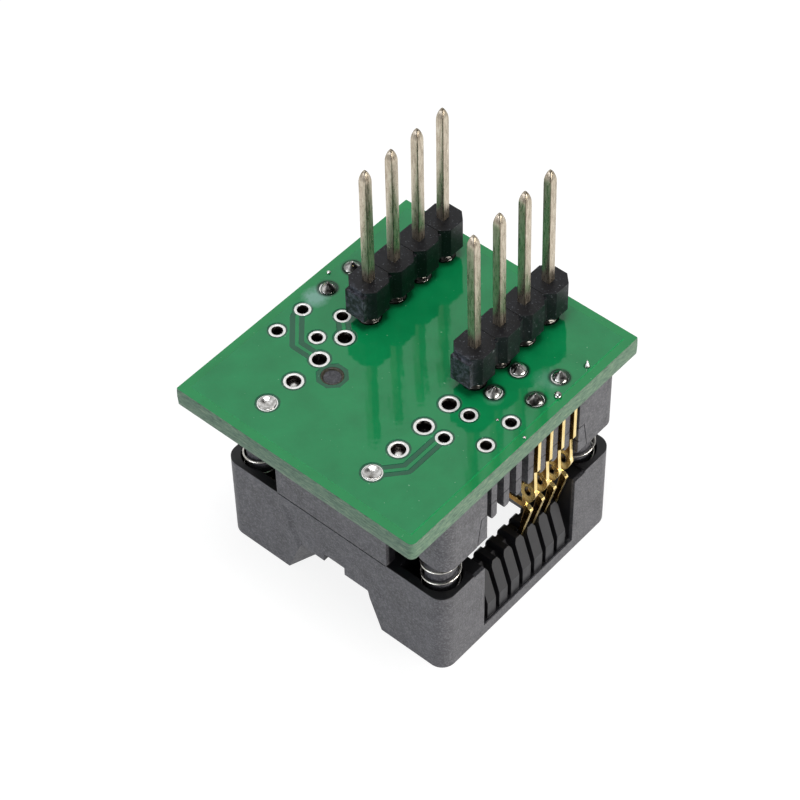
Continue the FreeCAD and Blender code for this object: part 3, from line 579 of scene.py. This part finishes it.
# A border edge has no triangle on its other side: inner ones drop straight down as plated walls,
# outer ones run down the sawn side through three rows that swell unevenly by up to 0.05 mm.
ends = np.concatenate([triangles[:, [i, (i + 1) % 3]] for i in range(3)])
borders = ends[~np.isin(ends @ [count, 1], ends @ [1, count])]
past = (np.abs(plan[borders[:, 0]]) - [HALF_X, HALF_Y]).max(1) > -EDGE_BAND
inner, outer = borders[~past], borders[past]
walls = np.column_stack([inner[:, 1], inner[:, 0], inner[:, 0] + count, inner[:, 1] + count])
rim = np.unique(outer)
place = np.searchsorted(rim, outer)
side = plan[rim]
reach = np.array([HALF_X - EDGE_CORE, HALF_Y - EDGE_CORE])
core = np.clip(side, -reach, reach)
away = (side - core) / np.linalg.norm(side - core, axis=1)[:, None]
rough = np.random.default_rng(5)
chain = [outer]
for depth, swell in EDGE_ROWS:
    chain.append(place + sum(len(row) for row in levels))
    moved = side + away * (swell - EDGE_ROUGH * rough.random((len(side), 1)))
    levels.append(np.column_stack([moved, np.full(len(moved), TOP_Z - depth * (TOP_Z - BOARD_Z))]))
chain = np.stack(chain + [outer + count])
upper, lower = chain[:-1].reshape(-1, 2), chain[1:].reshape(-1, 2)
sawn = np.column_stack([upper[:, 1], upper[:, 0], lower[:, 0], lower[:, 1]])
board_faces = [triangles, triangles[:, ::-1] + count, walls, sawn]
finishes = np.concatenate([finish, finish, np.full(len(walls), BARREL), np.full(len(sawn), EDGE)])
smooth = np.isin(finishes, (RING, BARREL, EDGE))


# Green mask: a glossy clouded lacquer, darker where no copper lies under it. It is dusty, dried
# flux greys it by some pads and darkens it round the soldered tails, and its gloss carries slow
# waves from the pressing and a weave drawn as coarse as the render can show.
CLOUD, FLUX_GRAIN, DUST_FLECK, PRESSED_WAVE = 2.9, 0.62, 0.26, 0.87
WEAVE_PITCH = 0.70
FLUX_OUT, FLUX_IN, FLUX_STRENGTH = 0.88, 0.70, 0.75
SMEARS = ((-8.75, 0.45, 1.3, 0.9), (-5.9, 0.45, 0.8, 0.4), (8.0, 4.7, 1.4, 0.35), (6.3, 1.2, 0.9, 0.3))


def green_mask(name, dark, light, rough, wave):
    """cloudy green, smears (x, y, reach, strength), flux rings, flecks; the bump is the waves
    plus the weave's product of two sines"""
    material, tree = new_material(name)
    spot = in_millimetres(tree)
    cloud = add(tree, "TexNoise", {"Vector": spot, "Scale": 1 / CLOUD, "Detail": 5, "Roughness": 0.6})
    colour = add(tree, "ValToRGB", {"Fac": cloud}, stops=((0.3, dark), (0.7, light)))
    flux = add(tree, "TexNoise", {"Vector": spot, "Scale": 1 / FLUX_GRAIN, "Detail": 6, "Roughness": 0.7})
    for x, y, reach, strength in SMEARS:
        off = add(tree, "VectorMath", {0: spot, 1: (x, y, TOP_Z)}, "Value", operation="DISTANCE")
        near = add(tree, "MapRange", {"Value": off, "From Min": reach, "From Max": 0.0})
        near = add(tree, "Math", {0: near, 1: flux}, operation="MULTIPLY")
        near = add(tree, "ValToRGB", {"Fac": near}, stops=((0.08, 0.0), (0.34, strength)))
        colour = add(tree, "Mix", {0: near, 6: colour, 7: "#7fb0a0"}, 2, data_type="RGBA")
    for x, y in fitted_tails:
        off = add(tree, "VectorMath", {0: spot, 1: (x, y, TOP_Z)}, "Value", operation="DISTANCE")
        near = add(tree, "MapRange", {"Value": off, "From Min": FLUX_OUT, "From Max": FLUX_IN})
        near = add(tree, "Math", {0: near, 1: FLUX_STRENGTH}, operation="MULTIPLY")
        colour = add(tree, "Mix", {0: near, 6: colour, 7: "#0b2418"}, 2, data_type="RGBA")
    fleck = add(tree, "TexNoise", {"Vector": spot, "Scale": 1 / DUST_FLECK, "Detail": 2, "Roughness": 0.5})
    fleck = add(tree, "ValToRGB", {"Fac": fleck}, stops=((0.73, 0.0), (0.78, 0.5)))
    colour = add(tree, "Mix", {0: fleck, 6: colour, 7: "#8cc8a4"}, 2, data_type="RGBA")
    threads = 2 * math.pi / WEAVE_PITCH
    cloth = add(tree, "VectorMath", {0: spot, 1: (threads, threads, 0)}, operation="MULTIPLY")
    cloth = add(tree, "VectorMath", {0: cloth}, operation="SINE")
    warp = add(tree, "SeparateXYZ", {0: cloth}, "X")
    weft = add(tree, "SeparateXYZ", {0: cloth}, "Y")
    weave = add(tree, "Math", {0: warp, 1: weft}, operation="MULTIPLY")
    weave = add(tree, "Math", {0: weave, 1: 0.10}, operation="MULTIPLY")
    waves = {"Vector": spot, "Scale": 1 / PRESSED_WAVE, "Detail": 2, "Roughness": 0.5}
    waves = add(tree, "TexNoise", waves)
    height = add(tree, "Math", {0: waves, 1: weave}, operation="ADD")
    finish_with(tree, colour, rough, height, wave)
    return material


mask = green_mask("green_mask_on_copper", "#0a7f48", "#108e52", 0.075, 0.35)
bare = green_mask("green_mask_on_laminate", "#15583c", "#1c6446", 0.10, 0.3)
margin = green_mask("green_mask_at_margin", "#0a8648", "#0f924f", 0.10, 0.3)

# Tinned pads: a bright, slightly lumpy skin of solder levelled by hot air.
PAD_LUMP, BARREL_LUMP, THREAD = 0.38, 0.28, 0.6
pad_tin, tree = new_material("tinned_pad")
lumps = {"Vector": in_millimetres(tree), "Scale": 1 / PAD_LUMP, "Detail": 4, "Roughness": 0.6}
lumps = add(tree, "TexNoise", lumps)
colour = add(tree, "ValToRGB", {"Fac": lumps}, stops=((0.3, "#e6e5e2"), (0.6, "#fafaf8")))
gloss = add(tree, "ValToRGB", {"Fac": lumps}, stops=((0.3, 0.26), (0.7, 0.42)))
finish_with(tree, colour, gloss, lumps, 0.5, Metallic=0.3)

# Plated walls of the holes: the same tin, its colour near black with painted shade down the holes,
# with lighter patches of painted highlight.
barrel, tree = new_material("plated_barrel")
lumps = {"Vector": in_millimetres(tree), "Scale": 1 / BARREL_LUMP, "Detail": 4, "Roughness": 0.6}
lumps = add(tree, "TexNoise", lumps)
shaded_tin_with_glints = ((0.40, "#1e1a1a"), (0.62, "#4a4644"), (0.72, "#b8b4ac"))
colour = add(tree, "ValToRGB", {"Fac": lumps}, stops=shaded_tin_with_glints)
finish_with(tree, colour, 0.35, lumps, 0.6, Metallic=1.0)

# Sawn laminate: glass threads and resin left rough by the saw, in flat grey green layers.
fibre, tree = new_material("sawn_laminate")
threads = {"Vector": in_millimetres(tree, 4.2), "Scale": 1 / THREAD, "Detail": 6, "Roughness": 0.75}
threads = add(tree, "TexNoise", threads)
layers = ((0.32, "#2c4234"), (0.46, "#456350"), (0.58, "#5b755f"), (0.72, "#858e78"))
colour = add(tree, "ValToRGB", {"Fac": threads}, stops=layers)
finish_with(tree, colour, 0.62, threads, 1.0)

mesh = make_mesh("board_visual", np.concatenate(levels), board_faces, finishes.tolist(), smooth.tolist())
board = link(mesh, "board_visual", "base", [mask, bare, pad_tin, barrel, fibre, margin], "board")


# Solder: hand-made joints in tin-lead alloy. Fillets climb the header pins, pointed joints cover
# the contact tails, two holes a side are filled, and a few beads have strayed. They are turned
# from profiles (r, height), made uneven, with dark flux about them; on the header fillets under
# the strips the dark is mostly painted shade.
SUNK = 0.01
SOLDER_LUMP, FLUX_PATCH = 0.42, 0.67
FILLET = ((0.80, 0.0), (0.84, 0.03), (0.74, 0.12), (0.62, 0.32), (0.54, 0.60), (0.48, 0.88), (0.45, 1.08))
PLUG = ((0.505, -1.55), (0.505, -0.02), (0.64, 0.0), (0.60, 0.05), (0.50, 0.03), (0.36, -0.05),
        (0.18, -0.10))
HALF_PLUG = ((0.505, -1.55), (0.505, -0.62), (0.42, -0.50), (0.28, -0.42), (0.10, -0.38))
JOINT = ((0.55, 0.0), (0.58, 0.03), (0.54, 0.12), (0.45, 0.23), (0.34, 0.33), (0.23, 0.43), (0.15, 0.53),
         (0.08, 0.60), (0.03, 0.62))
BEAD = ((0.10, 0.0), (0.20, 0.05), (0.22, 0.12), (0.17, 0.20), (0.08, 0.25))
SPIKE = ((0.20, 0.0), (0.18, 0.08), (0.12, 0.22), (0.06, 0.36), (0.02, 0.46))
STRAYS = ((9.225, 7.345, SPIKE, 1.2), (9.405, 4.015, BEAD, 1.3), (9.995, -0.155, BEAD, 0.5),
          (7.705, -0.125, BEAD, 0.5), (-9.575, 2.695, BEAD, 0.7))


def turned_piece(profile, centre, sides=28, uneven=0.06, seed=0):
    """profile (r, height) turned about centre; r is scaled by 1 + u sin(k a + p) for three waves"""
    a = np.arange(sides) * 2 * np.pi / sides
    waves = np.random.default_rng(seed)
    swell = 1 + sum(uneven / k * np.sin(k * a + waves.random() * 6.3) for k in (1, 2, 3))
    radius, height = np.array(profile).T[:, :, None]
    x, y = radius * swell * np.cos(a), radius * swell * np.sin(a)
    return tube(np.stack([x, y, height + 0 * a], axis=-1) + centre)


def gather(name, pieces):
    """one mesh from several (points, arrays of faces)"""
    starts = np.cumsum([0] + [len(points) for points, faces in pieces])
    moved = [array + start for start, (points, faces) in zip(starts, pieces) for array in faces]
    return make_mesh(name, np.concatenate([points for points, faces in pieces]), moved)


def soldered(name, least, most):
    """bright lumpy tin-lead alloy under near-black patches, covering more as least falls: brown flux,
    and on the fillets under the header strips mostly painted shade
    """
    material, tree = new_material(name)
    spot = in_millimetres(tree)
    lumps = add(tree, "TexNoise", {"Vector": spot, "Scale": 1 / SOLDER_LUMP, "Detail": 5, "Roughness": 0.6})
    metal = add(tree, "ValToRGB", {"Fac": lumps}, stops=((0.3, "#7c7a76"), (0.62, "#dedddb")))
    flux = add(tree, "TexNoise", {"Vector": spot, "Scale": 1 / FLUX_PATCH, "Detail": 4, "Roughness": 0.6})
    flux = add(tree, "ValToRGB", {"Fac": flux}, stops=((least, 0.0), (most, 0.9)))
    colour = add(tree, "Mix", {0: flux, 6: metal, 7: "#1a1610"}, 2, data_type="RGBA")
    gloss = add(tree, "ValToRGB", {"Fac": lumps}, stops=((0.3, 0.14), (0.7, 0.30)))
    finish_with(tree, colour, gloss, lumps, 1.0, Metallic=1.0)
    return material


clean_solder = soldered("solder_in_holes", 0.58, 0.74)
# Header fillets under the strips: near black, mostly painted shade with some flux.
fluxed_and_shaded_solder = soldered("solder_under_flux_and_painted_shade", 0.20, 0.42)
tail_solder = soldered("solder_on_tails", 0.46, 0.64)

pieces = [turned_piece(FILLET, (x, y, TOP_Z - SUNK), seed=10 * i + j)
          for i, x in enumerate(ROW_X) for j, y in enumerate(PIN_Y)]
solder = link(gather("header_joints", pieces), "header_joints", "base", [fluxed_and_shaded_solder], "header_solder")

pieces = []
for x in ROW_X:
    pieces.append(turned_piece(PLUG, (x, FILLED_Y[1], TOP_Z), uneven=0.0))
    pieces.append(turned_piece(HALF_PLUG, (x, FILLED_Y[0], TOP_Z), uneven=0.0))
solder = link(gather("hole_plugs", pieces), "hole_plugs", "base", [clean_solder], "header_solder")

# Rosin that ran into the gap round each locating post and set there, brown and uneven.
RESIDUE = ((0.795, -0.17), (0.795, -0.05), (0.76, -0.02), (0.69, -0.05), (0.63, -0.11), (0.60, -0.17))
ROSIN_LUMP = 0.33
rosin, tree = new_material("rosin_residue")
lumps = {"Vector": in_millimetres(tree), "Scale": 1 / ROSIN_LUMP, "Detail": 5, "Roughness": 0.7}
lumps = add(tree, "TexNoise", lumps)
brown = ((0.35, "#14120a"), (0.60, "#38331f"), (0.75, "#6f6c58"))
colour = add(tree, "ValToRGB", {"Fac": lumps}, stops=brown)
gloss = add(tree, "ValToRGB", {"Fac": lumps}, stops=((0.3, 0.30), (0.7, 0.55)))
finish_with(tree, colour, gloss, lumps, 1.0)
pieces = [turned_piece(RESIDUE, (x, y, TOP_Z), sides=36, uneven=0.0) for x, y in LOCATORS]
residue = link(gather("post_residue", pieces), "post_residue", "base", [rosin])

pieces = [turned_piece(JOINT, (x, y, TOP_Z - SUNK), uneven=0.10, seed=50 + tails.index((x, y)))
          for x, y in fitted_tails]
solder = link(gather("contact_joints", pieces), "contact_joints", "base", [tail_solder], "contact_solder")
pieces = [turned_piece(np.array(shape) * grown, (x, y, TOP_Z - SUNK), sides=16, seed=70 + i)
          for i, (x, y, shape, grown) in enumerate(STRAYS)]
solder = link(gather("stray_beads", pieces), "stray_beads", "base", [clean_solder], "contact_solder")


# Corner springs: round steel wire wound right-handed, caught between the cover's pockets and the
# corner posts. The last turn at the top closes down to a flat seat under the post.
WIRE_R, COIL_R = 0.09, 1.31
COIL_LOW, COIL_HIGH, COIL_PITCH = 2.42, 10.73, 1.18
COIL_TURNS, TURN_STEPS, WIRE_SIDES = 7.9, 40, 10
SPRING_X, SPRING_Y = 8.12, 7.20


def sweep(centre, radius, sides):
    """round wire: circles of that radius in the plane across the centreline"""
    along = np.gradient(centre, axis=0)
    along /= np.linalg.norm(along, axis=1)[:, None]
    side = np.cross(along, [0.0, 0.0, 1.0])
    side /= np.linalg.norm(side, axis=1)[:, None]
    up = np.cross(side, along)
    a = np.linspace(0, 2 * np.pi, sides, endpoint=False)
    ring = np.cos(a)[None, :, None] * side[:, None] + np.sin(a)[None, :, None] * up[:, None]
    return centre[:, None] + radius * ring


# Spring wire: bright drawn steel, smooth and mirror-like, with hardly a mark on it.
WIRE_MARK = 0.33
steel, tree = new_material("spring_wire")
drawn = {"Vector": in_millimetres(tree), "Scale": 1 / WIRE_MARK, "Detail": 4, "Roughness": 0.6}
drawn = add(tree, "TexNoise", drawn)
colour = add(tree, "ValToRGB", {"Fac": drawn}, stops=((0.3, "#a9a6a0"), (0.7, "#dedcd6")))
finish_with(tree, colour, 0.24, drawn, 0.1, Metallic=1.0)

turn = np.arange(0, COIL_TURNS, 1 / TURN_STEPS)
height = COIL_LOW + WIRE_R + COIL_PITCH * turn
height = np.minimum(height, COIL_HIGH - WIRE_R - 0.001 * (turn.max() - turn))
coil = np.stack([COIL_R * np.cos(2 * np.pi * turn), COIL_R * np.sin(2 * np.pi * turn), height], axis=1)
corners = (("front_left", -1, -1), ("front_right", 1, -1), ("back_left", -1, 1), ("back_right", 1, 1))
for name, a, b in corners:
    points, faces = tube(sweep(coil + [SX + a * SPRING_X, SY + b * SPRING_Y, 0], WIRE_R, WIRE_SIDES))
    mesh = make_mesh("coil_" + name, points, faces)
    spring = link(mesh, "coil_" + name, "base", [steel], "spring_" + name)
    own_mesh(spring)
